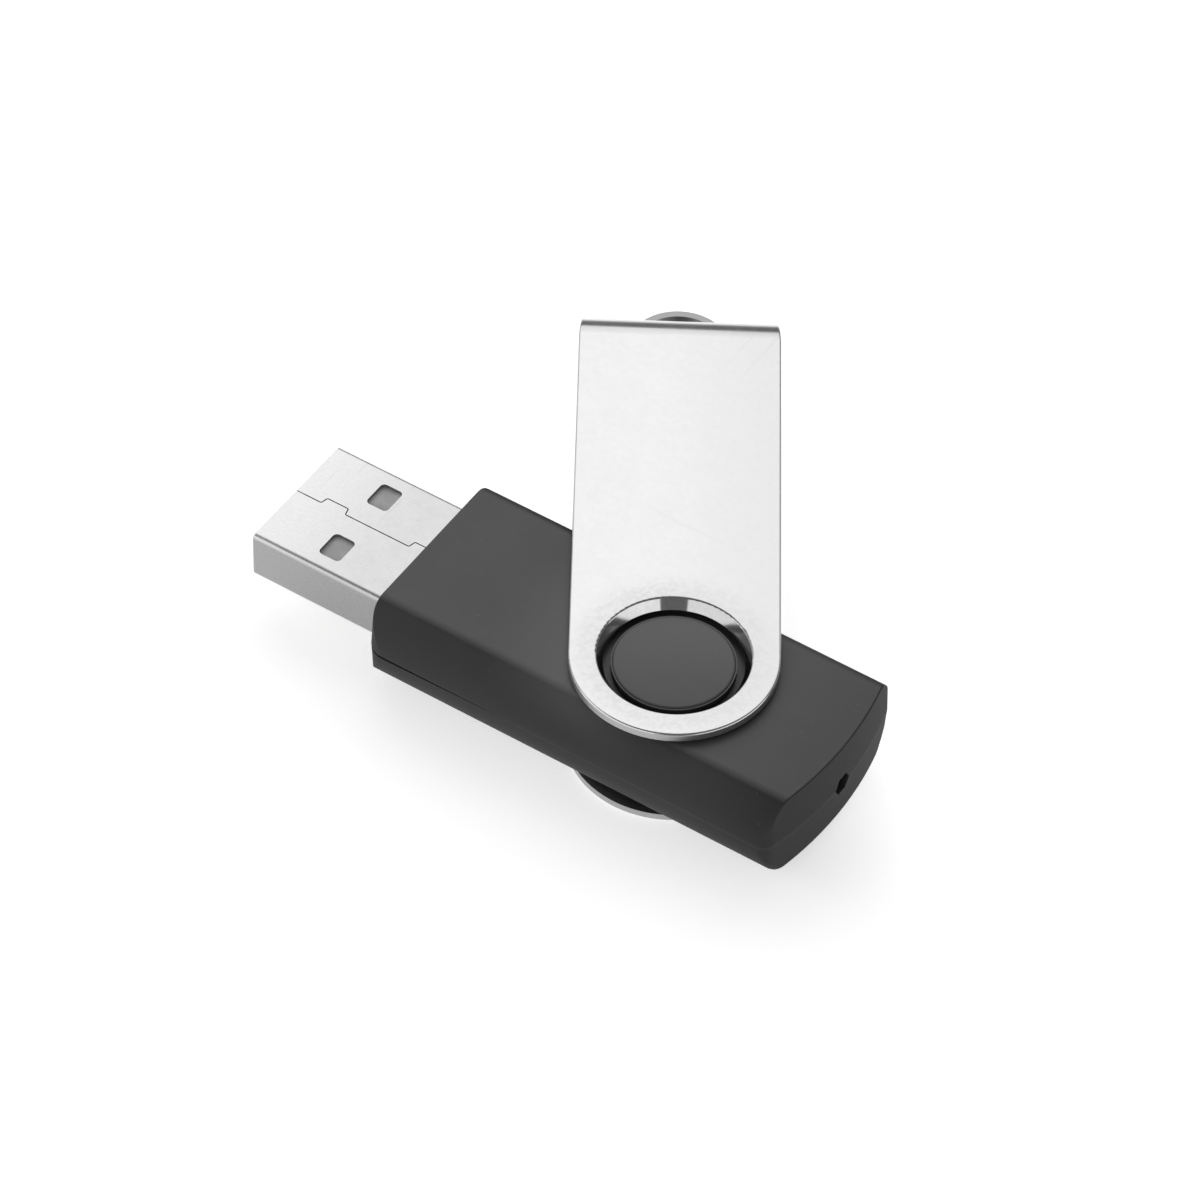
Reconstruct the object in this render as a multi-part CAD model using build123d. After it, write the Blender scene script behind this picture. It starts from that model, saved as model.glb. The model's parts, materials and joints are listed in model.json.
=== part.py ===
# USB flash drive with a swivelling sheet-steel cover, in millimetres.
# +X runs from the plug to the tail and +Z is up. The origin is the centre of the plug's mouth.
from build123d import *
import os
from math import sqrt

# How far a cutting shape reaches past what it cuts, and how close counts as equal
SPARE = 1.0
CLOSE = 0.01

# Plug (the standard USB-A size)
PLUG_WIDTH = 12.0
PLUG_HEIGHT = 4.5
PLUG_SHEET = 0.3
PLUG_CORNER = 0.5
PLUG_LENGTH = 18.8
LATCH_HOLE = (2.0, 2.5)
LATCH_HOLE_X = 6.2
LATCH_HOLE_Y = 3.27
LATCH_HOLE_CORNER = 0.4
MOUTH_CHAMFER = 0.08
SEAM_WIDTH = 0.1
SEAM_STEP = 0.65
SEAM_STEPS = ((2.4, 4.7), (10.75, 13.05))
SEAM_LEAN = 0.15
SEAM_CORNER = 0.15
EAR_LENGTH = 2.6
EAR_ROOT = 0.5
EAR_LOW = -1.4
EAR_HIGH = 0.5

# Plug contacts
TONGUE_FRONT = 0.5
TONGUE_BACK = 14.4
TONGUE_BLOCK_FRONT = 12.2
TONGUE_CHAMFER = 0.25
CONTACT_WIDTH = 1.0
CONTACT_LOW = -0.05
CONTACT_HIGH = 0.15
CONTACT_END = 20.6
CONTACT_NOSE = 0.15
CONTACT_GAP = 0.02
OUTER_CONTACT_START = 1.6
INNER_CONTACT_START = 2.6
CONTACT_PLACES = {
    "contact_power": (3.5, OUTER_CONTACT_START),
    "contact_data_minus": (1.0, INNER_CONTACT_START),
    "contact_data_plus": (-1.0, INNER_CONTACT_START),
    "contact_ground": (-3.5, OUTER_CONTACT_START),
}

# Body
FRONT_X = 12.6
TAIL_X = 50.7
BODY_WIDTH = 18.2
FLAT_WIDTH = 14.0
BODY_HEIGHT = 8.2
CREASE_RADIUS = 1.4
TAIL_RADIUS = 33.0
FRONT_CORNER = 1.8
TAIL_CORNER = 1.2
DRAFT = 2.8
EDGE = 0.15
TAIL_BOTTOM_EDGE = 0.6
WALL = 1.2
FRONT_WALL = 1.4
LIP_DEPTH = 0.6
LIP_THICKNESS = 0.5
FIT_GAP = 0.05
GAPE = 0.35
GAPE_LENGTH = 14.5
LED_HOLE_RADIUS = 1.0

# Pivot
PIVOT_X = 35.3
BOSS_RADIUS = 4.85
BOSS_TOP = 4.2
BOSS_EDGE = 0.3
GROOVE_RADIUS = 6.25
GROOVE_FLOOR = 3.35
GROOVE_LIP = 0.2
ANVIL_RADIUS = 7.2
ANVIL_FACE = 2.5

# Cover
COVER_HEIGHT = 10.0
COVER_SHEET = 0.7
COVER_WIDTH = 16.3
COVER_REACH = 38.6
COVER_ANGLE = 121.8
BEND_RADIUS = 4.0
BEND_NARROWING = 0.2
COVER_EDGE = 0.18
COLLAR_MOUTH = 6.01
COLLAR_MOUTH_ROUND = 0.2
COLLAR_RIM = 5.38
COLLAR_RIM_ROUND = 0.12
COLLAR_WALL = 0.5
COLLAR_BLEND = 6.4
COLLAR_DEPTH = 1.08
LOOP_RISE = 1.85
LOOP_RADIUS = 4.2
LOOP_SHEET = 0.6
LOOP_WIDTH = 4.0

# Circuit board and what is on it
BOARD_LOW = -0.85
BOARD_HIGH = CONTACT_LOW
BOARD_START = 14.6
BOARD_SHOULDER = 19.2
BOARD_END = 47.4
BOARD_WIDTH = 14.0
BOARD_NECK = 11.0
BOARD_CORNER = 0.8
BOARD_GAP = 0.1
RIB_PLACES = (22.4, 33.0, 44.6)
RIB_INNER_Y = 6.4
RIB_THICKNESS = 1.0
LEAD_PITCH = 0.5
LEAD_WIDTH = 0.22
LEAD_SHEET = 0.13
LEAD_RISE = 0.45
STAND_OFF = 0.1
PACKAGE_CHAMFER = 0.12
DIMPLE_RADIUS = 0.35
DIMPLE_DEPTH = 0.05
DIMPLE_INSET = 1.0
FLASH_SIZE = (18.4, 12.0, 1.0)
FLASH_X = 33.0
CONTROLLER_SIZE = (7.0, 7.0, 1.0)
CONTROLLER_X = 28.0
CRYSTAL_SIZE = (3.2, 2.5, 0.55)
CRYSTAL_PLACE = (36.2, 2.6)
CRYSTAL_LID_INSET = 0.2
CRYSTAL_LID_HEIGHT = 0.2
CRYSTAL_LID_CORNER = 0.3
CHIP_END = 0.3
CAPACITOR_SIZE = (1.6, 0.8, 0.8)
RESISTOR_SIZE = (1.6, 0.8, 0.45)
CAPACITOR_PLACES = (
    (36.0, -1.2),
    (36.0, -3.2),
    (39.6, 2.0),
    (39.6, 3.8),
    (42.6, -3.0),
    (42.6, 3.0),
)
RESISTOR_PLACES = ((39.6, -1.2), (39.6, -3.0), (42.6, -1.0), (42.6, 1.0))
LED_X = 46.3
LED_SIZE = (0.8, 1.6, 0.3)
LED_LENS = (0.8, 1.1, 0.35)
LED_LENS_CHAMFER = 0.08
SOLDER_FOOT = 0.5
SOLDER_HEIGHT = 0.3
SOLDER_LENGTH = 1.4


def block(low, high):
    """Box between two corners."""
    size = [b - a for a, b in zip(low, high)]
    middle = [(a + b) / 2 for a, b in zip(low, high)]
    return Pos(*middle) * Box(*size)


def prism(face, low, high):
    """Face drawn on the XY plane, extruded from one height to another."""
    return Pos(0, 0, low) * extrude(face, amount=high - low)


# ---------------------------------------------------------------- body shells
def body_plan(inset=0.0):
    """Outline of the body seen from above, square at the plug end and bowed at the tail."""
    half = BODY_WIDTH / 2 + CLOSE
    bow = TAIL_RADIUS - sqrt(TAIL_RADIUS**2 - half**2)
    near = (TAIL_X - bow, -half)
    far = (TAIL_X - bow, half)
    edges = [
        Line((FRONT_X, half), (FRONT_X, -half)),
        Line((FRONT_X, -half), near),
        ThreePointArc(near, (TAIL_X, 0), far),
        Line(far, (FRONT_X, half)),
    ]
    face = make_face(edges)
    corners = face.vertices().group_by(Axis.X)
    face = fillet(corners[0], FRONT_CORNER)
    face = fillet(face.vertices().group_by(Axis.X)[-1], TAIL_CORNER)
    return offset(face, amount=-inset) if inset else face


def body_section():
    """Section across the body: flat above and below, bowed sides, and a soft crease between them."""
    half = BODY_WIDTH / 2
    flat = FLAT_WIDTH / 2
    top = BODY_HEIGHT / 2
    edges = [
        Line((flat, top), (-flat, top)),
        ThreePointArc((-flat, top), (-half, 0), (-flat, -top)),
        Line((-flat, -top), (flat, -top)),
        ThreePointArc((flat, -top), (half, 0), (flat, top)),
    ]
    face = make_face(edges)
    return fillet(face.vertices(), CREASE_RADIUS)


def body_bar(inset=0.0):
    """Body section, or the section inside it by an inset, as a long bar along X."""
    section = offset(body_section(), amount=-inset) if inset else body_section()
    return extrude(Plane.YZ * section, amount=TAIL_X + SPARE)


def outer_half(tail_edge):
    """Upper half of the body's outside, drafted away from the parting line."""
    tapered = extrude(body_plan(), amount=BODY_HEIGHT / 2 + SPARE, taper=DRAFT)
    half = tapered & body_bar()
    half = fillet(end_edge(half, 0), EDGE)
    return fillet(end_edge(half, -1), tail_edge)


def end_edge(half, which):
    """Middle edge of the flat face at the plug end (0) or the tail (-1)."""
    flat = half.faces().sort_by(Axis.Z)[-1]
    return flat.edges().filter_by(lambda e: abs(e.center().Y) < CLOSE).sort_by(Axis.X)[which]


def cavity_half():
    """Room inside one shell, with the thickening under the pivot boss left solid."""
    inner = prism(body_plan(FRONT_WALL), -LIP_DEPTH - SPARE, BODY_HEIGHT / 2)
    room = inner & body_bar(WALL)
    anvil = Pos(PIVOT_X, 0, 0) * prism(Circle(ANVIL_RADIUS).face(), ANVIL_FACE, BODY_HEIGHT / 2)
    return room - anvil


def pivot_groove():
    """Ring groove round the boss, flared where it meets the body's surface."""
    top = BODY_HEIGHT / 2
    ring = [
        (BOSS_RADIUS, GROOVE_FLOOR),
        (GROOVE_RADIUS, GROOVE_FLOOR),
        (GROOVE_RADIUS, top - GROOVE_LIP),
        (GROOVE_RADIUS + GROOVE_LIP, top),
        (GROOVE_RADIUS + GROOVE_LIP, top + SPARE),
        (BOSS_RADIUS, top + SPARE),
    ]
    face = make_face(Plane.XZ * Polyline(*ring, close=True))
    return Pos(PIVOT_X, 0, 0) * revolve(face, Axis.Z)


def pivot_boss():
    """Round button that the cover turns about."""
    boss = prism(Circle(BOSS_RADIUS).face(), ANVIL_FACE, BOSS_TOP)
    boss = fillet(boss.edges().group_by(Axis.Z)[-1], BOSS_EDGE)
    return Pos(PIVOT_X, 0, 0) * boss


def plug_opening():
    """Hole in the front wall that the plug comes out of."""
    hole = RectangleRounded(PLUG_WIDTH + 2 * FIT_GAP, PLUG_HEIGHT + 2 * FIT_GAP, PLUG_CORNER)
    return extrude(Plane.YZ * hole, amount=FRONT_X + FRONT_WALL + SPARE)


def led_hole():
    """Six-sided hole in the tail that the status light shines through."""
    hexagon = Plane.YZ.offset(BOARD_END) * RegularPolygon(LED_HOLE_RADIUS, 6)
    return extrude(hexagon, amount=TAIL_X - BOARD_END + SPARE)


def board_ribs(level):
    """Side ribs that reach from the shell to the edges of the board at a given height."""
    ribs = Part()
    for x in RIB_PLACES:
        for side in (-1, 1):
            y_in = side * RIB_INNER_Y
            y_out = side * (BODY_WIDTH / 2 - WALL / 2)
            low = (x - RIB_THICKNESS / 2, min(y_in, y_out), level)
            high = (x + RIB_THICKNESS / 2, max(y_in, y_out), BODY_HEIGHT / 2)
            ribs += block(low, high)
    return ribs & body_bar(WALL / 2)


def shell_half(tail_edge, board_gap):
    """One shell before its joint is cut: hollow, with the groove and boss on its outer face."""
    shell = outer_half(tail_edge) - cavity_half() - pivot_groove()
    shell += pivot_boss()
    return shell + board_ribs(board_gap)


def upper_shell():
    shell = shell_half(EDGE, BOARD_HIGH + FIT_GAP)
    outline = body_plan(FRONT_WALL - LIP_THICKNESS) - body_plan(FRONT_WALL)
    lip = prism(outline, -LIP_DEPTH, LIP_DEPTH / 2)
    return shell + lip - plug_opening() - led_hole()


def lower_shell():
    shell = mirror(shell_half(TAIL_BOTTOM_EDGE, -BOARD_LOW + FIT_GAP), Plane.XY)
    rebate = FRONT_WALL - LIP_THICKNESS - FIT_GAP
    shell -= prism(body_plan(rebate), -LIP_DEPTH - FIT_GAP, SPARE)
    back = FRONT_X + GAPE_LENGTH
    front = FRONT_X - SPARE
    wedge = [(front, -GAPE), (front, SPARE), (back, SPARE), (back, 0)]
    gape = extrude(make_face(Plane.XZ * Polyline(*wedge, close=True)), amount=BODY_WIDTH, both=True)
    return shell - gape - plug_opening() - led_hole()


# ------------------------------------------------------------------ the cover
def folded_block(inset):
    """Solid that fills the folded sheet, by an inset from its outer surface."""
    half = COVER_HEIGHT / 2 - inset
    solid = block((-COVER_WIDTH, -COVER_WIDTH, -half), (COVER_REACH - inset, COVER_WIDTH, half))
    return fillet(solid.edges().filter_by(Axis.Y).group_by(Axis.X)[-1], BEND_RADIUS - inset)


def cover_plan():
    """Outline of the cover seen from above: round at the pivot, drawn in a little over the bend."""
    half = COVER_WIDTH / 2
    bend = COVER_REACH - BEND_RADIUS
    side = [(0, half), (bend, half), (COVER_REACH, half - BEND_NARROWING)]
    other = [(x, -y) for x, y in reversed(side)]
    return Circle(half) + make_face(Polyline(*side, *other, close=True))


def cover_sheet():
    """Folded sheet before its collars and loop: two plates with round ends, joined by a bridge."""
    height = COVER_HEIGHT / 2
    sheet = (folded_block(0) - folded_block(COVER_SHEET)) & prism(cover_plan(), -height, height)
    return fillet(outside_edges(sheet), COVER_EDGE)


def outside_edges(sheet):
    """Edges of the folded sheet on its outer surface, without the smooth ones across its bends."""
    core = folded_block(COVER_SHEET * 0.4)
    along = sheet.edges().filter_by(Axis.Y, reverse=True)
    return along.filter_by(lambda e: not core.is_inside(e.position_at(0.5)))


def collar():
    """Rim of the pivot hole, drawn inwards from the upper plate."""
    top = COVER_HEIGHT / 2
    low = top - COLLAR_DEPTH
    under = top - COVER_SHEET
    section = [
        (COLLAR_BLEND, top),
        (COLLAR_MOUTH, top),
        (COLLAR_RIM, low),
        (COLLAR_RIM + COLLAR_WALL, low),
        (COLLAR_RIM + COLLAR_WALL + COLLAR_RIM_ROUND, under),
        (COLLAR_BLEND, under),
    ]
    face = make_face(Polyline(*section, close=True))
    mouth = face.vertices().filter_by(lambda v: abs(v.X - COLLAR_MOUTH) < CLOSE)
    face = fillet(mouth, COLLAR_MOUTH_ROUND)
    rim = face.vertices().filter_by(lambda v: abs(v.Y - low) < CLOSE)
    face = fillet(rim, COLLAR_RIM_ROUND)
    return revolve(Plane.XZ * face, Axis.Z)


def lanyard_loop():
    """Arched strip that stands out of the bridge."""
    middle = COVER_REACH + LOOP_RISE - LOOP_RADIUS
    ring = Circle(LOOP_RADIUS) - Circle(LOOP_RADIUS - LOOP_SHEET)
    strip = Pos(middle, 0, 0) * prism(ring, -LOOP_WIDTH / 2, LOOP_WIDTH / 2)
    low = (COVER_REACH - COVER_SHEET / 2, -LOOP_RADIUS, -COVER_HEIGHT)
    keep = block(low, (COVER_REACH + LOOP_RISE, LOOP_RADIUS, COVER_HEIGHT))
    return strip & keep


def loop_slot():
    """Slot left in the bridge where the loop's strip was pushed out."""
    reach = LOOP_RADIUS - LOOP_SHEET
    offset_x = LOOP_RADIUS - LOOP_RISE
    half = sqrt(reach**2 - offset_x**2)
    low = (COVER_REACH - 2 * COVER_SHEET, -half, -LOOP_WIDTH / 2)
    return block(low, (COVER_REACH + SPARE, half, LOOP_WIDTH / 2))


def swivel_cover():
    sheet = cover_sheet() - Cylinder(COLLAR_BLEND, COVER_HEIGHT + SPARE)
    sheet = sheet + collar() + mirror(collar(), Plane.XY)
    sheet = sheet - loop_slot() + lanyard_loop()
    return Pos(PIVOT_X, 0, 0) * Rot(0, 0, COVER_ANGLE) * sheet


# ------------------------------------------------------------------- the plug
def fold_seam():
    """Hairline where the plug's sheet meets itself, with its locking steps."""
    points = [(-SPARE, 0)]
    for start, end in SEAM_STEPS:
        points += [(start, 0), (start + SEAM_LEAN, SEAM_STEP), (end - SEAM_LEAN, SEAM_STEP), (end, 0)]
    points.append((PLUG_LENGTH + SPARE, 0))
    line = trace(FilletPolyline(*points, radius=SEAM_CORNER), line_width=SEAM_WIDTH)
    return prism(line, 0, PLUG_HEIGHT)


def latch_holes():
    """Two holes in each wide side."""
    holes = Part()
    for side in (-1, 1):
        hole = Pos(LATCH_HOLE_X, side * LATCH_HOLE_Y) * RectangleRounded(*LATCH_HOLE, LATCH_HOLE_CORNER)
        holes += prism(hole, -PLUG_HEIGHT, PLUG_HEIGHT)
    return holes


def plug_shell():
    inner_width = PLUG_WIDTH - 2 * PLUG_SHEET
    inner_height = PLUG_HEIGHT - 2 * PLUG_SHEET
    outer = extrude(Plane.YZ * RectangleRounded(PLUG_WIDTH, PLUG_HEIGHT, PLUG_CORNER), amount=PLUG_LENGTH)
    outer = chamfer(outer.edges().group_by(Axis.X)[0], MOUTH_CHAMFER)
    inner_corner = PLUG_CORNER - PLUG_SHEET
    inner = extrude(Plane.YZ * RectangleRounded(inner_width, inner_height, inner_corner), amount=PLUG_LENGTH)
    shell = outer - inner - latch_holes() - fold_seam()
    for side in (-1, 1):
        y = sorted((side * inner_width / 2, side * PLUG_WIDTH / 2))
        ear = block((PLUG_LENGTH - EAR_ROOT, y[0], EAR_LOW), (PLUG_LENGTH + EAR_LENGTH, y[1], EAR_HIGH))
        shell += ear
    return shell


def contact(y, start):
    """Flat contact strip with a rounded leading end."""
    half = CONTACT_WIDTH / 2
    strip = block((start, y - half, CONTACT_LOW), (CONTACT_END, y + half, CONTACT_HIGH))
    nose = strip.edges().filter_by(Axis.Y).group_by(Axis.X)[0].group_by(Axis.Z)[0]
    return fillet(nose, CONTACT_NOSE)


def contact_groove(y, start):
    """Room for one contact in the tongue's lower face."""
    half = CONTACT_WIDTH / 2 + CONTACT_GAP
    low = (start - CONTACT_GAP, y - half, CONTACT_LOW - CONTACT_GAP)
    return block(low, (TONGUE_BACK + SPARE, y + half, CONTACT_HIGH + CONTACT_GAP))


def plug_insulator():
    """Tongue that carries the contacts, with a block that closes the plug behind them."""
    half_width = PLUG_WIDTH / 2 - PLUG_SHEET - FIT_GAP
    top = PLUG_HEIGHT / 2 - PLUG_SHEET - FIT_GAP
    tongue = block((TONGUE_FRONT, -half_width, 0), (TONGUE_BACK, half_width, top))
    tongue = chamfer(tongue.edges().filter_by(Axis.Y).group_by(Axis.X)[0], TONGUE_CHAMFER)
    tongue += block((TONGUE_BLOCK_FRONT, -half_width, -top), (TONGUE_BACK, half_width, 0))
    corners = tongue.edges().filter_by(Axis.X).filter_by(lambda e: abs(e.center().Z) > top - CLOSE)
    tongue = fillet(corners, PLUG_CORNER - PLUG_SHEET)
    for place in CONTACT_PLACES.values():
        tongue -= contact_groove(*place)
    return tongue


# ------------------------------------------------------- board and components
def circuit_board():
    board = block((BOARD_START, -BOARD_NECK / 2, BOARD_LOW), (BOARD_END, BOARD_NECK / 2, BOARD_HIGH))
    board += block((BOARD_SHOULDER, -BOARD_WIDTH / 2, BOARD_LOW), (BOARD_END, BOARD_WIDTH / 2, BOARD_HIGH))
    corners = board.edges().filter_by(Axis.Z).group_by(Axis.X)[-1]
    board = fillet(corners, BOARD_CORNER)
    for side in (-1, 1):
        y = sorted((side * (PLUG_WIDTH / 2 - PLUG_SHEET), side * (PLUG_WIDTH / 2 + BOARD_GAP)))
        low = (BOARD_SHOULDER - SPARE, y[0], BOARD_LOW - SPARE)
        board -= block(low, (PLUG_LENGTH + EAR_LENGTH + BOARD_GAP, y[1], BOARD_HIGH + SPARE))
    return board


def on_top(solid, x, y, turn=0):
    """Place a component, drawn with its seat at z = 0, on the board's upper face."""
    return Pos(x, y, BOARD_HIGH) * Rot(0, 0, turn) * solid


def below(solid, x, y, turn=0):
    """Place a component, drawn with its seat at z = 0, under the board's lower face."""
    return Pos(x, y, BOARD_LOW) * Rot(180, 0, 0) * Rot(0, 0, turn) * solid


def chip_body(size):
    """Moulded package with a chamfered top edge and a dimple for pin one."""
    length, width, height = size
    body = Pos(0, 0, STAND_OFF + height / 2) * Box(length, width, height)
    body = chamfer(body.edges().group_by(Axis.Z)[-1], PACKAGE_CHAMFER)
    dimple = Cylinder(DIMPLE_RADIUS, 2 * DIMPLE_DEPTH)
    return body - Pos(DIMPLE_INSET - length / 2, DIMPLE_INSET - width / 2, STAND_OFF + height) * dimple


def lead(reach):
    """Gull-wing lead that leaves a package at x = 0 and stands on z = 0."""
    shoulder = 0.35 * reach
    foot = 0.6 * reach
    mid = STAND_OFF + LEAD_RISE
    slant = 0.6 * LEAD_SHEET
    points = [(0, mid), (shoulder, mid), (foot, 0), (reach, 0), (reach, LEAD_SHEET)]
    points += [(foot + slant, LEAD_SHEET), (shoulder + slant, mid + LEAD_SHEET), (0, mid + LEAD_SHEET)]
    face = make_face(Plane.XZ * Polyline(*points, close=True))
    return Pos(0, LEAD_WIDTH / 2, 0) * extrude(face, amount=LEAD_WIDTH)


def lead_row(count, distance, reach):
    """Row of leads along one side of a package whose side is at the given distance."""
    first = -(count - 1) / 2 * LEAD_PITCH
    return [Pos(distance, first + i * LEAD_PITCH, 0) * lead(reach) for i in range(count)]


def package_leads(count, distance, reach, turns):
    """Rows of leads on the sides of a package that the turns name, in degrees."""
    return [Rot(0, 0, turn) * one for turn in turns for one in lead_row(count, distance, reach)]


def small_bodies(size, places):
    """Middles of two-ended chip components."""
    length, width, height = size
    body = Pos(0, 0, height / 2) * Box(length - 2 * CHIP_END, width, height)
    return Compound([below(body, x, y) for x, y in places])


def small_ends(size, places):
    """Metal ends of two-ended chip components."""
    length, width, height = size
    shift = (length - CHIP_END) / 2
    end = Pos(0, 0, height / 2) * Box(CHIP_END, width, height)
    ends = []
    for x, y in places:
        ends += [below(Pos(side * shift, 0, 0) * end, x, y) for side in (-1, 1)]
    return Compound(ends)


def crystal():
    """Ceramic base and metal lid of the clock crystal."""
    length, width, height = CRYSTAL_SIZE
    base = Pos(0, 0, height / 2) * Box(length, width, height)
    lid = Box(length - 2 * CRYSTAL_LID_INSET, width - 2 * CRYSTAL_LID_INSET, CRYSTAL_LID_HEIGHT)
    lid = fillet(lid.edges().filter_by(Axis.Z), CRYSTAL_LID_CORNER)
    lid = Pos(0, 0, height + CRYSTAL_LID_HEIGHT / 2) * lid
    x, y = CRYSTAL_PLACE
    return below(base, x, y), below(lid, x, y)


def status_led():
    """Base and clear lens of the light behind the tail's hole."""
    base = Pos(0, 0, LED_SIZE[2] / 2) * Box(*LED_SIZE)
    lens = Pos(0, 0, LED_SIZE[2] + LED_LENS[2] / 2) * Box(*LED_LENS)
    lens = chamfer(lens.edges().group_by(Axis.Z)[-1], LED_LENS_CHAMFER)
    return on_top(base, LED_X, 0), on_top(lens, LED_X, 0)


def solder_fillet(length, height):
    """Hollow-faced solder fillet: runs along Y, stands on z = 0 and leans on the plane x = 0."""
    middle = (0.3 * SOLDER_FOOT, 0.4 * height)
    face = make_face(Plane.XZ * Polyline((0, 0), (SOLDER_FOOT, 0), middle, (0, height), close=True))
    return Pos(0, length / 2, 0) * extrude(face, amount=length)


def contact_solder():
    """Fillets at the ends of the contacts' tails."""
    joint = solder_fillet(CONTACT_WIDTH, CONTACT_HIGH - CONTACT_LOW)
    return Compound([on_top(joint, CONTACT_END, y) for y, start in CONTACT_PLACES.values()])


def shell_solder():
    """Fillets on the inner side of each ear, above and below the board."""
    ear_x = PLUG_LENGTH + EAR_LENGTH - SOLDER_LENGTH / 2 - BOARD_GAP
    ear_y = PLUG_WIDTH / 2 - PLUG_SHEET
    joint = solder_fillet(SOLDER_LENGTH, SOLDER_HEIGHT)
    joints = []
    for side, turn in ((-1, 90), (1, -90)):
        joints.append(on_top(joint, ear_x, side * ear_y, turn))
        joints.append(below(joint, ear_x, side * ear_y, -turn))
    return Compound(joints)


def make_nodes():
    """Every sub-part by name, in its place."""
    nodes = {
        "upper_shell": upper_shell(),
        "lower_shell": lower_shell(),
        "swivel_cover": swivel_cover(),
        "plug_shell": plug_shell(),
        "plug_insulator": plug_insulator(),
        "circuit_board": circuit_board(),
        "flash_chip": on_top(chip_body(FLASH_SIZE), FLASH_X, 0),
        "controller_chip": below(chip_body(CONTROLLER_SIZE), CONTROLLER_X, 0),
    }
    for name, place in CONTACT_PLACES.items():
        nodes[name] = contact(*place)
    flash_leads = package_leads(24, FLASH_SIZE[0] / 2, 0.8, (0, 180))
    nodes["flash_chip_leads"] = Compound([on_top(one, FLASH_X, 0) for one in flash_leads])
    controller_leads = package_leads(12, CONTROLLER_SIZE[0] / 2, 1.0, (0, 90, 180, 270))
    nodes["controller_leads"] = Compound([below(one, CONTROLLER_X, 0) for one in controller_leads])
    nodes["crystal_base"], nodes["crystal_lid"] = crystal()
    nodes["status_led_base"], nodes["status_led_lens"] = status_led()
    nodes["capacitors"] = small_bodies(CAPACITOR_SIZE, CAPACITOR_PLACES)
    nodes["capacitor_ends"] = small_ends(CAPACITOR_SIZE, CAPACITOR_PLACES)
    nodes["resistors"] = small_bodies(RESISTOR_SIZE, RESISTOR_PLACES)
    nodes["resistor_ends"] = small_ends(RESISTOR_SIZE, RESISTOR_PLACES)
    nodes["contact_solder_joints"] = contact_solder()
    nodes["shell_solder_joints"] = shell_solder()
    return nodes


os.makedirs("parts", exist_ok=True)
for name, shape in make_nodes().items():
    export_step(shape, f"parts/{name}.step")
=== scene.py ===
# Looks for the USB flash drive: materials, floor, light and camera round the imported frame.
# Lengths are metres in the frame of the CAD model, and MM is a millimetre.
import json
import math
import bpy
from mathutils import Matrix, Vector


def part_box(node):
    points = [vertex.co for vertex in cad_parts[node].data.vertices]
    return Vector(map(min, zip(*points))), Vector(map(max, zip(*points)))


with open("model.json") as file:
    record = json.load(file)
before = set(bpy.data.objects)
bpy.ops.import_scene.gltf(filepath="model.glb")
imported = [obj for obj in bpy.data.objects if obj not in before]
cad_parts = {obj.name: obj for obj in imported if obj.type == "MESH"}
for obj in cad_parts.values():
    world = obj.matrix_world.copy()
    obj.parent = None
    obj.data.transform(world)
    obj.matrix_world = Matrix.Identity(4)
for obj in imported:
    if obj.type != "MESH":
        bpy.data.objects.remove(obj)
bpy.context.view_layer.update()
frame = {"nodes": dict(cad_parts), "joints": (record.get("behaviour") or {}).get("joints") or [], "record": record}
MM = 0.001


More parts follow.
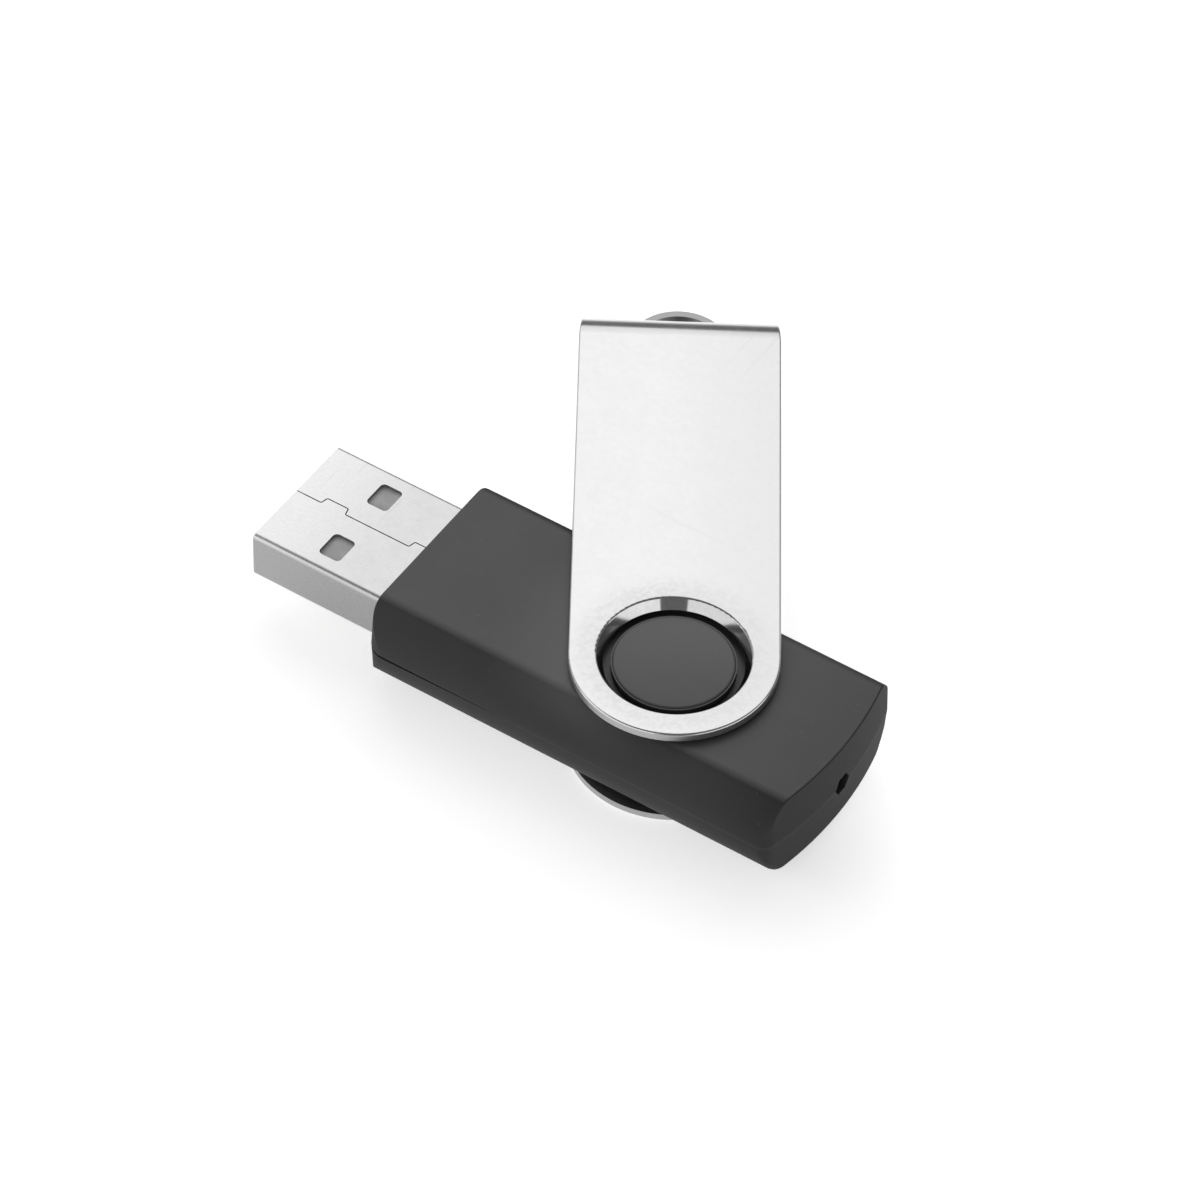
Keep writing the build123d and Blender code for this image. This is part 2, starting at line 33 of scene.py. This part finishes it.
# ------------------------------------------------------------------ node helpers
class Nodes:
    """A new material's node tree, with short calls for what its shader is made of."""

    def __init__(self, name):
        self.material = bpy.data.materials.new(name)
        self.material.use_nodes = True
        self.tree = self.material.node_tree
        self.shader = self.tree.nodes["Principled BSDF"]
        self.object_space = self.add("ShaderNodeTexCoord").outputs["Object"]

    def add(self, kind, **inputs):
        node = self.tree.nodes.new(kind)
        for key, value in inputs.items():
            self.put(node.inputs[key.replace("_", " ")], value)
        return node

    def put(self, socket, value):
        """Sets a socket to a value, or links it to another socket. One number is a grey."""
        if isinstance(value, bpy.types.NodeSocket):
            self.tree.links.new(value, socket)
        elif socket.type == "RGBA" and not hasattr(value, "__len__"):
            socket.default_value = (value, value, value, 1.0)
        elif socket.type == "RGBA":
            socket.default_value = (*value[:3], 1.0)
        else:
            socket.default_value = value

    def set(self, **inputs):
        for key, value in inputs.items():
            self.put(self.shader.inputs[key.replace("_", " ")], value)

    def math(self, operation, a, b=0.0):
        node = self.tree.nodes.new("ShaderNodeMath")
        node.operation = operation
        self.put(node.inputs[0], a)
        self.put(node.inputs[1], b)
        return node.outputs[0]

    def plus(self, a, b):
        return self.math("ADD", a, b)

    def minus(self, a, b):
        return self.math("SUBTRACT", a, b)

    def times(self, a, b):
        return self.math("MULTIPLY", a, b)

    def noise(self, size, stretch=(1, 1, 1), detail=4.0, rough=0.55, shift=0.0):
        """Noise whose features are about `size` metres across, stretched along axes."""
        place = self.add("ShaderNodeMapping")
        place.inputs["Location"].default_value = (shift, shift * 0.7, shift * 1.3)
        place.inputs["Scale"].default_value = [1 / (size * s) for s in stretch]
        self.put(place.inputs["Vector"], self.object_space)
        node = self.add("ShaderNodeTexNoise", Scale=1.0, Detail=detail, Roughness=rough)
        self.put(node.inputs["Vector"], place.outputs[0])
        return node.outputs["Fac"]

    def ramp(self, factor, low, high, out_low=0.0, out_high=1.0):
        node = self.tree.nodes.new("ShaderNodeMapRange")
        node.interpolation_type = "SMOOTHSTEP"
        for index, value in enumerate((factor, low, high, out_low, out_high)):
            self.put(node.inputs[index], value)
        return node.outputs[0]

    def mix(self, factor, a, b):
        node = self.tree.nodes.new("ShaderNodeMix")
        node.data_type = "RGBA"
        self.put(node.inputs["Factor"], factor)
        self.put(node.inputs[6], a)
        self.put(node.inputs[7], b)
        return node.outputs[2]

    def edges(self, radius, low, high):
        """1 along convex and concave edges within `radius`, 0 on open surfaces."""
        soft = self.add("ShaderNodeBevel", Radius=radius)
        soft.samples = 4
        flat = self.add("ShaderNodeNewGeometry").outputs["Normal"]
        dot = self.tree.nodes.new("ShaderNodeVectorMath")
        dot.operation = "DOT_PRODUCT"
        self.put(dot.inputs[0], soft.outputs[0])
        self.put(dot.inputs[1], flat)
        return self.ramp(dot.outputs["Value"], low, high, 1.0, 0.0)

    def facing_up(self):
        """Size of the surface direction's vertical part: 1 on flat faces, 0 on upright ones."""
        split = self.add("ShaderNodeSeparateXYZ")
        self.put(split.inputs[0], self.add("ShaderNodeTexCoord").outputs["Normal"])
        return self.math("ABSOLUTE", split.outputs["Z"])

    def bump(self, height, distance, strength):
        node = self.add("ShaderNodeBump", Strength=strength, Distance=distance, Height=height)
        self.put(self.shader.inputs["Normal"], node.outputs[0])


# ------------------------------------------------------------------ where things are
# Radii round the swivel axis that bound what looks different
BOSS_RADIUS = 5.0 * MM
COLLAR_RADIUS = 6.13 * MM
RING_RADIUS = 7.0 * MM
TURNED_RADIUS = 9.0 * MM
SWEPT_HIGHLIGHT_RADIUS = 15.0 * MM
# How far the middle of the loop stands out from the bridge's face
LOOP_OUT = 0.62 * MM
PLUG_TO_TAIL = (1, 0, 0)
# Where along X the coating gets painted shade towards the tail and the plug's nickel gets painted shade towards
# the body, counted from the plug's mouth
TAIL_SHADE = (41 * MM, 51 * MM)
PLUG_SHADE = (-1 * MM, 10 * MM)
# Where along the cover the boss gets paler with a painted highlight, counted from the pivot towards the loop
BOSS_HIGHLIGHT_FADE = (-6 * MM, 5 * MM)
# Where across the cover the painted highlight on the swept body fades and the plates get darker with painted
# shade, counted from the pivot
SWEPT_HIGHLIGHT_FADE = (-9 * MM, -2 * MM)
DARK_SIDE = (-3 * MM, 8 * MM)
# Where the lanced loop's rougher metal starts, counted outwards from the bridge's face
LANCED = (0.05 * MM, 0.15 * MM)

floor_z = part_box("swivel_cover")[0][2]
swivel = next(j for j in frame["joints"] if j["name"] == "cover_swivel")
pivot = Vector(swivel["pos_m"])
loop = next(m for m in frame["record"]["mounts"] if m["name"] == "lanyard_loop")
to_loop = Vector(loop["pos_m"]) - pivot
reach_axis = to_loop.normalized()
across_axis = Vector((reach_axis.y, -reach_axis.x, 0.0))
pivot_reach = reach_axis.dot(pivot)
pivot_across = across_axis.dot(pivot)
bridge_reach = pivot_reach + to_loop.length - LOOP_OUT


def near_pivot(n, radius, soft):
    """1 inside a cylinder round the swivel axis and 0 outside it."""
    place = n.add("ShaderNodeMapping")
    place.inputs["Location"].default_value = -pivot
    place.inputs["Scale"].default_value = (1, 1, 0)
    n.put(place.inputs["Vector"], n.object_space)
    length = n.tree.nodes.new("ShaderNodeVectorMath")
    length.operation = "LENGTH"
    n.put(length.inputs[0], place.outputs[0])
    return n.ramp(length.outputs["Value"], radius - soft, radius, 1.0, 0.0)


def along(n, axis, origin, span, low, high):
    """Goes from one value to another along a direction in the CAD frame, over a span beyond an origin."""
    dot = n.tree.nodes.new("ShaderNodeVectorMath")
    dot.operation = "DOT_PRODUCT"
    n.put(dot.inputs[0], n.object_space)
    n.put(dot.inputs[1], axis)
    return n.ramp(dot.outputs["Value"], origin + span[0], origin + span[1], low, high)


# ------------------------------------------------------------------ materials
def soft_touch():
    """Charcoal rubbery coating: fine matt grain, faint clouding, a little dust and shiny rubbed edges.

    It has painted highlights that make it paler on the boss and where the cover sweeps over it, and painted shade
    that makes it darker on its upright sides and at the tail.
    """
    n = Nodes("soft_touch")
    cloud = n.noise(5 * MM, detail=3)
    grain = n.noise(0.07 * MM, detail=2, rough=0.6)
    up = n.ramp(n.facing_up(), 0.2, 0.95)
    flat = n.ramp(n.facing_up(), 0.84, 0.99)
    base = n.mix(n.ramp(cloud, 0.3, 0.7), (0.034, 0.034, 0.035), (0.041, 0.041, 0.042))
    # Painted shade: upright faces get a darker, even base colour.
    base = n.mix(up, (0.033, 0.033, 0.034), base)
    # Painted highlights: the boss, paler towards the loop, and the top where the cover sweeps over it, fading out
    # across the cover.
    boss_highlight_fade = along(n, reach_axis, pivot_reach, BOSS_HIGHLIGHT_FADE, 0.1, 1.0)
    swept_highlight_fade = along(n, across_axis, pivot_across, SWEPT_HIGHLIGHT_FADE, 1.0, 0.0)
    boss = n.times(near_pivot(n, BOSS_RADIUS, soft=0.2 * MM), boss_highlight_fade)
    swept_highlight = n.times(near_pivot(n, SWEPT_HIGHLIGHT_RADIUS, soft=9 * MM), swept_highlight_fade)
    base = n.mix(n.math("MAXIMUM", boss, n.times(swept_highlight, up)), base, (0.088, 0.088, 0.089))
    # Painted shade: the coating darkens towards the tail.
    base = n.mix(along(n, PLUG_TO_TAIL, 0.0, TAIL_SHADE, 0.0, 0.75), base, (0.016, 0.016, 0.017))
    rubbed = n.edges(0.30 * MM, 0.80, 0.995)
    worn = n.mix(n.times(rubbed, 0.25), base, (0.080, 0.080, 0.082))
    dust = n.ramp(n.noise(0.30 * MM, detail=0, shift=3.0), 0.83, 0.86)
    color = n.mix(n.times(dust, 0.12), worn, 0.16)
    rough = n.plus(n.ramp(grain, 0.2, 0.8, 0.42, 0.54), n.times(rubbed, -0.08))
    rough = n.plus(rough, n.ramp(flat, 0.0, 1.0, 0.20, 0.0))
    n.set(Base_Color=color, Roughness=rough, Specular_IOR_Level=n.ramp(flat, 0.0, 1.0, 0.20, 0.74))
    n.bump(grain, 0.004 * MM, 0.5)
    return n.material


def scratches(n):
    """Sparse hairlines in two directions, 1 on a line and 0 between lines."""
    lengthwise = n.ramp(n.noise(0.6 * MM, (1, 26, 26), detail=2, shift=5.0), 0.69, 0.72)
    crosswise = n.ramp(n.noise(0.7 * MM, (30, 1.4, 30), detail=2, shift=9.0), 0.70, 0.73)
    return n.math("MAXIMUM", lengthwise, crosswise)


def sheet_height(n, grain, cloud, waviness, lines):
    """Height of a metal sheet: grain and slow waves, with the scratches cut in."""
    return n.minus(n.plus(grain, n.times(cloud, waviness)), n.times(lines, 0.5))


def cover_steel():
    """Rolled stainless sheet: satin plates, polished collars, rough sheared edges and loop.

    The plates are more mottled and darker round the pivot, and have painted shade towards one edge, where their
    reflection of the back panel falls off.
    """
    n = Nodes("cover_steel")
    tone = 0.58
    cloud = n.noise(2.5 * MM, detail=5, rough=0.6)
    rolled = n.noise(0.06 * MM, (1, 8, 1), detail=3, rough=0.6)
    mottle = n.noise(0.5 * MM, detail=4, rough=0.7, shift=2.0)
    lines = scratches(n)
    collar = near_pivot(n, COLLAR_RADIUS, soft=0.1 * MM)
    turned = near_pivot(n, TURNED_RADIUS, soft=3.0 * MM)
    upright = n.ramp(n.facing_up(), 0.25, 0.55, 1.0, 0.0)
    sheared = n.times(upright, n.minus(1.0, near_pivot(n, RING_RADIUS, soft=0.2 * MM)))
    lanced = along(n, reach_axis, bridge_reach, LANCED, 0.0, 1.0)
    worn = n.edges(0.15 * MM, 0.75, 0.99)
    spots = n.times(n.ramp(mottle, 0.42, 0.60), n.ramp(turned, 0.0, 1.0, 0.15, 1.0))
    # Painted shade: the plates darken towards one edge, as their reflection of the back panel falls off.
    shaded_side = along(n, across_axis, pivot_across, DARK_SIDE, 0.0, 0.5)
    tint = n.mix(n.ramp(cloud, 0.35, 0.65), tone * 0.975, tone)
    tint = n.mix(spots, tint, tone * 0.87)
    tint = n.mix(n.times(turned, 0.5), tint, tone * 0.82)
    tint = n.mix(shaded_side, tint, tone * 0.84)
    tint = n.mix(n.times(sheared, 0.6), tint, tone * 0.66)
    tint = n.mix(n.times(worn, 0.3), tint, tone * 1.12)
    tint = n.mix(n.times(lanced, 0.8), tint, tone * 0.55)
    rough = n.ramp(rolled, 0.3, 0.7, 0.13, 0.19)
    rough = n.plus(rough, n.times(lines, 0.05))
    rough = n.plus(rough, n.ramp(cloud, 0.35, 0.65, 0.0, 0.02))
    rough = n.ramp(n.math("MAXIMUM", sheared, lanced), 0.0, 1.0, rough, 0.42)
    rough = n.ramp(collar, 0.0, 1.0, rough, 0.09)
    n.set(Base_Color=tint, Metallic=1.0, Roughness=rough)
    n.bump(sheet_height(n, rolled, cloud, 2.0, lines), 0.0015 * MM, n.ramp(collar, 0.0, 1.0, 0.2, 0.03))
    return n.material


def plug_steel():
    """Nickel-plated plug sheet: matt, mottled and finely scratched, with painted shade on its sides and towards
    the body, where it reflects the floor's shadow.
    """
    n = Nodes("plug_steel")
    tone = 0.62
    cloud = n.noise(1.2 * MM, detail=6, rough=0.65)
    mottle = n.noise(0.25 * MM, detail=3, rough=0.6, shift=6.0)
    drawn = n.noise(0.05 * MM, (12, 1, 1), detail=3, rough=0.6)
    lines = n.ramp(n.noise(0.5 * MM, (1.2, 26, 26), detail=2, shift=5.0), 0.70, 0.74)
    worn = n.edges(0.12 * MM, 0.75, 0.99)
    # Painted shade: the nickel darkens towards the body, where it reflects the floor's shadow.
    shade_to_body = along(n, PLUG_TO_TAIL, 0.0, PLUG_SHADE, 0.0, 0.9)
    # Painted shade: the sides are darker, where they reflect the shadowed floor.
    side = n.ramp(n.facing_up(), 0.2, 0.8, 0.75, 0.0)
    tint = n.mix(n.ramp(cloud, 0.35, 0.65), tone * 0.94, tone)
    tint = n.mix(n.times(n.ramp(mottle, 0.35, 0.65), 0.5), tint, tone * 0.90)
    tint = n.mix(shade_to_body, tint, tone * 0.80)
    tint = n.mix(side, tint, tone * 0.48)
    tint = n.mix(n.times(worn, 0.3), tint, tone * 1.1)
    rough = n.plus(n.ramp(drawn, 0.3, 0.7, 0.20, 0.28), n.ramp(cloud, 0.3, 0.7, 0.0, 0.06))
    rough = n.plus(rough, n.times(lines, 0.06))
    n.set(Base_Color=tint, Metallic=1.0, Roughness=rough)
    n.bump(sheet_height(n, drawn, cloud, 3.0, lines), 0.003 * MM, 0.09)
    return n.material


def plain_plastic(name, dark, light, rough, grain_size, grain_depth=0.003 * MM, **more):
    """Moulded part: clouded colour, fine grain and a little roughness variation."""
    n = Nodes(name)
    grain = n.noise(grain_size, detail=3)
    cloud = n.noise(grain_size * 12, detail=2, shift=4.0)
    color = n.mix(n.ramp(cloud, 0.3, 0.7), dark, light)
    n.set(Base_Color=color, Roughness=n.ramp(grain, 0.25, 0.75, rough - 0.06, rough + 0.06), **more)
    n.bump(grain, grain_depth, 0.4)
    return n.material


def metal(name, tone, rough, grain_size):
    """Small plated or tinned part with a slightly uneven surface."""
    n = Nodes(name)
    grain = n.noise(grain_size, detail=4)
    color = n.mix(n.ramp(grain, 0.3, 0.75), [part * 0.88 for part in tone], tone)
    n.set(Base_Color=color, Metallic=1.0, Roughness=n.ramp(grain, 0.2, 0.8, rough - 0.05, rough + 0.12))
    n.bump(grain, 0.006 * MM, 0.35)
    return n.material


# Plastics: darker and lighter colour, roughness, grain size. Metals: colour, roughness, grain size.
finishes = {
    "body_soft_touch": soft_touch(),
    "cover_steel": cover_steel(),
    "plug_steel": plug_steel(),
    "insulator_plastic": plain_plastic("insulator", 0.46, 0.56, 0.55, 0.12 * MM, grain_depth=0.02 * MM),
    "contact_gold": metal("contact_gold", (0.90, 0.66, 0.27), 0.22, 0.12 * MM),
    "board_laminate": plain_plastic("board", (0.012, 0.10, 0.035), (0.02, 0.16, 0.06), 0.30, 0.20 * MM),
    "chip_plastic": plain_plastic("chip", 0.018, 0.035, 0.60, 0.05 * MM),
    "lead_tin": metal("lead_tin", (0.72, 0.72, 0.70), 0.30, 0.10 * MM),
    "crystal_ceramic": plain_plastic(
        "crystal_ceramic", (0.40, 0.33, 0.24), (0.50, 0.42, 0.31), 0.65, 0.08 * MM
    ),
    "crystal_metal": metal("crystal_metal", (0.80, 0.77, 0.68), 0.22, 0.15 * MM),
    "capacitor_ceramic": plain_plastic("capacitor", (0.36, 0.24, 0.13), (0.45, 0.31, 0.18), 0.60, 0.08 * MM),
    "resistor_film": plain_plastic("resistor", (0.012, 0.012, 0.014), (0.03, 0.03, 0.035), 0.25, 0.10 * MM),
    "led_base": plain_plastic("led_base", (0.70, 0.70, 0.68), (0.80, 0.80, 0.78), 0.45, 0.08 * MM),
    "led_lens": plain_plastic(
        "led_lens", (0.55, 0.60, 0.75), (0.70, 0.75, 0.90), 0.12, 0.10 * MM, Transmission_Weight=0.8, IOR=1.5
    ),
    "solder": metal("solder", (0.66, 0.66, 0.66), 0.22, 0.12 * MM),
}
slots = {p["node"]: p["material_slot"] for p in frame["record"]["subparts"]}
for name, node in frame["nodes"].items():
    node.data.materials.clear()
    node.data.materials.append(finishes[slots[name]])


# ------------------------------------------------------------------ floor, light and camera
# Angles are degrees: azimuth turns from -Y towards +X, elevation is up from the floor
CAMERA_DISTANCE = 449.24 * MM
CAMERA_AZIMUTH = 31.53
CAMERA_ELEVATION = 47.40
CAMERA_ROLL = 2.18
CAMERA_LENS = 172.42
CAMERA_SENSOR = 36.0
CAMERA_CLIP = (0.01, 10.0)
TARGET_FROM_PIVOT = Vector((-10.83, 4.93, 0.0)) * MM
AIM_SHIFT = (0.829 * MM, 0.063 * MM)

# The floor's glow is painted light; it glows less near the camera and to the left, as painted shade, and is
# painted dim far behind the object
FLOOR_HALF_WIDTH = 0.6
FLOOR_GAP = 0.02 * MM
FLOOR_TONE = 0.85
FLOOR_DIM_TONE = 0.55
FLOOR_GLOW_NEAR = 0.53
FLOOR_GLOW_FAR = 0.70
FLOOR_GLOW_EDGE = (-6 * MM, 10 * MM)
FLOOR_LEAN = 0.7
FLOOR_BRIGHT_END = 80 * MM
FLOOR_DIM_START = 104 * MM

WORLD_LEVEL = 0.20
LAMP_DISTANCE = 0.9


def direction(azimuth, elevation):
    """Unit vector from the object towards a place."""
    a, e = math.radians(azimuth), math.radians(elevation)
    return Vector((math.sin(a) * math.cos(e), -math.cos(a) * math.cos(e), math.sin(e)))


def floor_material():
    """White table, lit a little from inside, so that shadows on it stay faint."""
    n = Nodes("floor")
    place = n.add("ShaderNodeMapping")
    place.inputs["Rotation"].default_value = (0, 0, math.radians(-CAMERA_AZIMUTH))
    n.put(place.inputs["Vector"], n.object_space)
    split = n.add("ShaderNodeSeparateXYZ")
    n.put(split.inputs[0], place.outputs[0])
    # Painted shade: the floor is darker and unlit far behind the object, and glows less near the camera and to the
    # left.
    away = n.ramp(split.outputs["Y"], FLOOR_BRIGHT_END, FLOOR_DIM_START)
    lit_side = n.plus(split.outputs["Y"], n.times(split.outputs["X"], FLOOR_LEAN))
    glow = n.ramp(lit_side, *FLOOR_GLOW_EDGE, FLOOR_GLOW_NEAR, FLOOR_GLOW_FAR)
    n.set(Base_Color=n.mix(away, FLOOR_TONE, FLOOR_DIM_TONE), Roughness=0.9, Specular_IOR_Level=0.1)
    n.set(Emission_Color=(1, 1, 1), Emission_Strength=n.ramp(away, 0.0, 1.0, glow, 0.0))
    return n.material


def make_floor():
    """Square floor under the object, just clear of the cover's lower plate."""
    mesh = bpy.data.meshes.new("floor")
    near, far = -FLOOR_HALF_WIDTH, FLOOR_HALF_WIDTH
    corners = [(near, near, 0), (far, near, 0), (far, far, 0), (near, far, 0)]
    mesh.from_pydata(corners, [], [(0, 1, 2, 3)])
    mesh.materials.append(floor_material())
    floor = bpy.data.objects.new("floor", mesh)
    floor.location = (pivot.x, pivot.y, floor_z - FLOOR_GAP)
    bpy.context.collection.objects.link(floor)


def softbox(name, turn, elevation, size, level):
    """Soft light aimed at the pivot, turned to the right from the camera's side. Its level is radiance."""
    light = bpy.data.lights.new(name, "AREA")
    light.shape = "RECTANGLE"
    light.size, light.size_y = size
    light.energy = level * math.pi * size[0] * size[1]
    lamp = bpy.data.objects.new(name, light)
    back = direction(CAMERA_AZIMUTH + turn, elevation)
    lamp.location = pivot + back * LAMP_DISTANCE
    lamp.rotation_mode = "QUATERNION"
    lamp.rotation_quaternion = back.to_track_quat("Z", "Y")
    bpy.context.collection.objects.link(lamp)


def make_light():
    """Wide white panels behind and above, a low one behind left, and one at each side of the camera."""
    world = bpy.data.worlds.new("studio")
    world.use_nodes = True
    world.node_tree.nodes["Background"].inputs["Color"].default_value = (1, 1, 1, 1)
    world.node_tree.nodes["Background"].inputs["Strength"].default_value = WORLD_LEVEL
    bpy.context.scene.world = world
    softbox("back_panel", 178, 43, (1.1, 0.78), 0.78)
    softbox("upper_panel", 175, 51, (1.2, 0.50), 0.25)
    softbox("back_left_panel", 226, 42, (1.7, 0.80), 0.36)
    softbox("low_panel", 228, 9, (0.9, 0.36), 0.60)
    softbox("left_panel", -56, 22, (1.5, 0.84), 1.10)
    softbox("right_panel", 60, 14, (1.4, 0.50), 1.25)


def make_camera():
    """Camera on the side that shows the plug's seam, looking down at the stick, rolled a little."""
    data = bpy.data.cameras.new("camera")
    data.lens = CAMERA_LENS
    data.sensor_width = CAMERA_SENSOR
    data.clip_start, data.clip_end = CAMERA_CLIP
    camera = bpy.data.objects.new("camera", data)
    roll = math.radians(CAMERA_ROLL)
    back = direction(CAMERA_AZIMUTH, CAMERA_ELEVATION)
    side = direction(CAMERA_AZIMUTH + 90, 0)
    up = back.cross(side)
    right = side * math.cos(roll) + up * math.sin(roll)
    top = up * math.cos(roll) - side * math.sin(roll)
    target = pivot + TARGET_FROM_PIVOT
    place = target + back * CAMERA_DISTANCE
    aim = (place - (target + right * AIM_SHIFT[0] + top * AIM_SHIFT[1])).normalized()
    right = top.cross(aim).normalized()
    top = aim.cross(right)
    camera.matrix_world = Matrix.Translation(place) @ Matrix((right, top, aim)).transposed().to_4x4()
    bpy.context.collection.objects.link(camera)
    bpy.context.scene.camera = camera


make_camera()
make_floor()
make_light()
bpy.context.scene.view_settings.view_transform = "Standard"
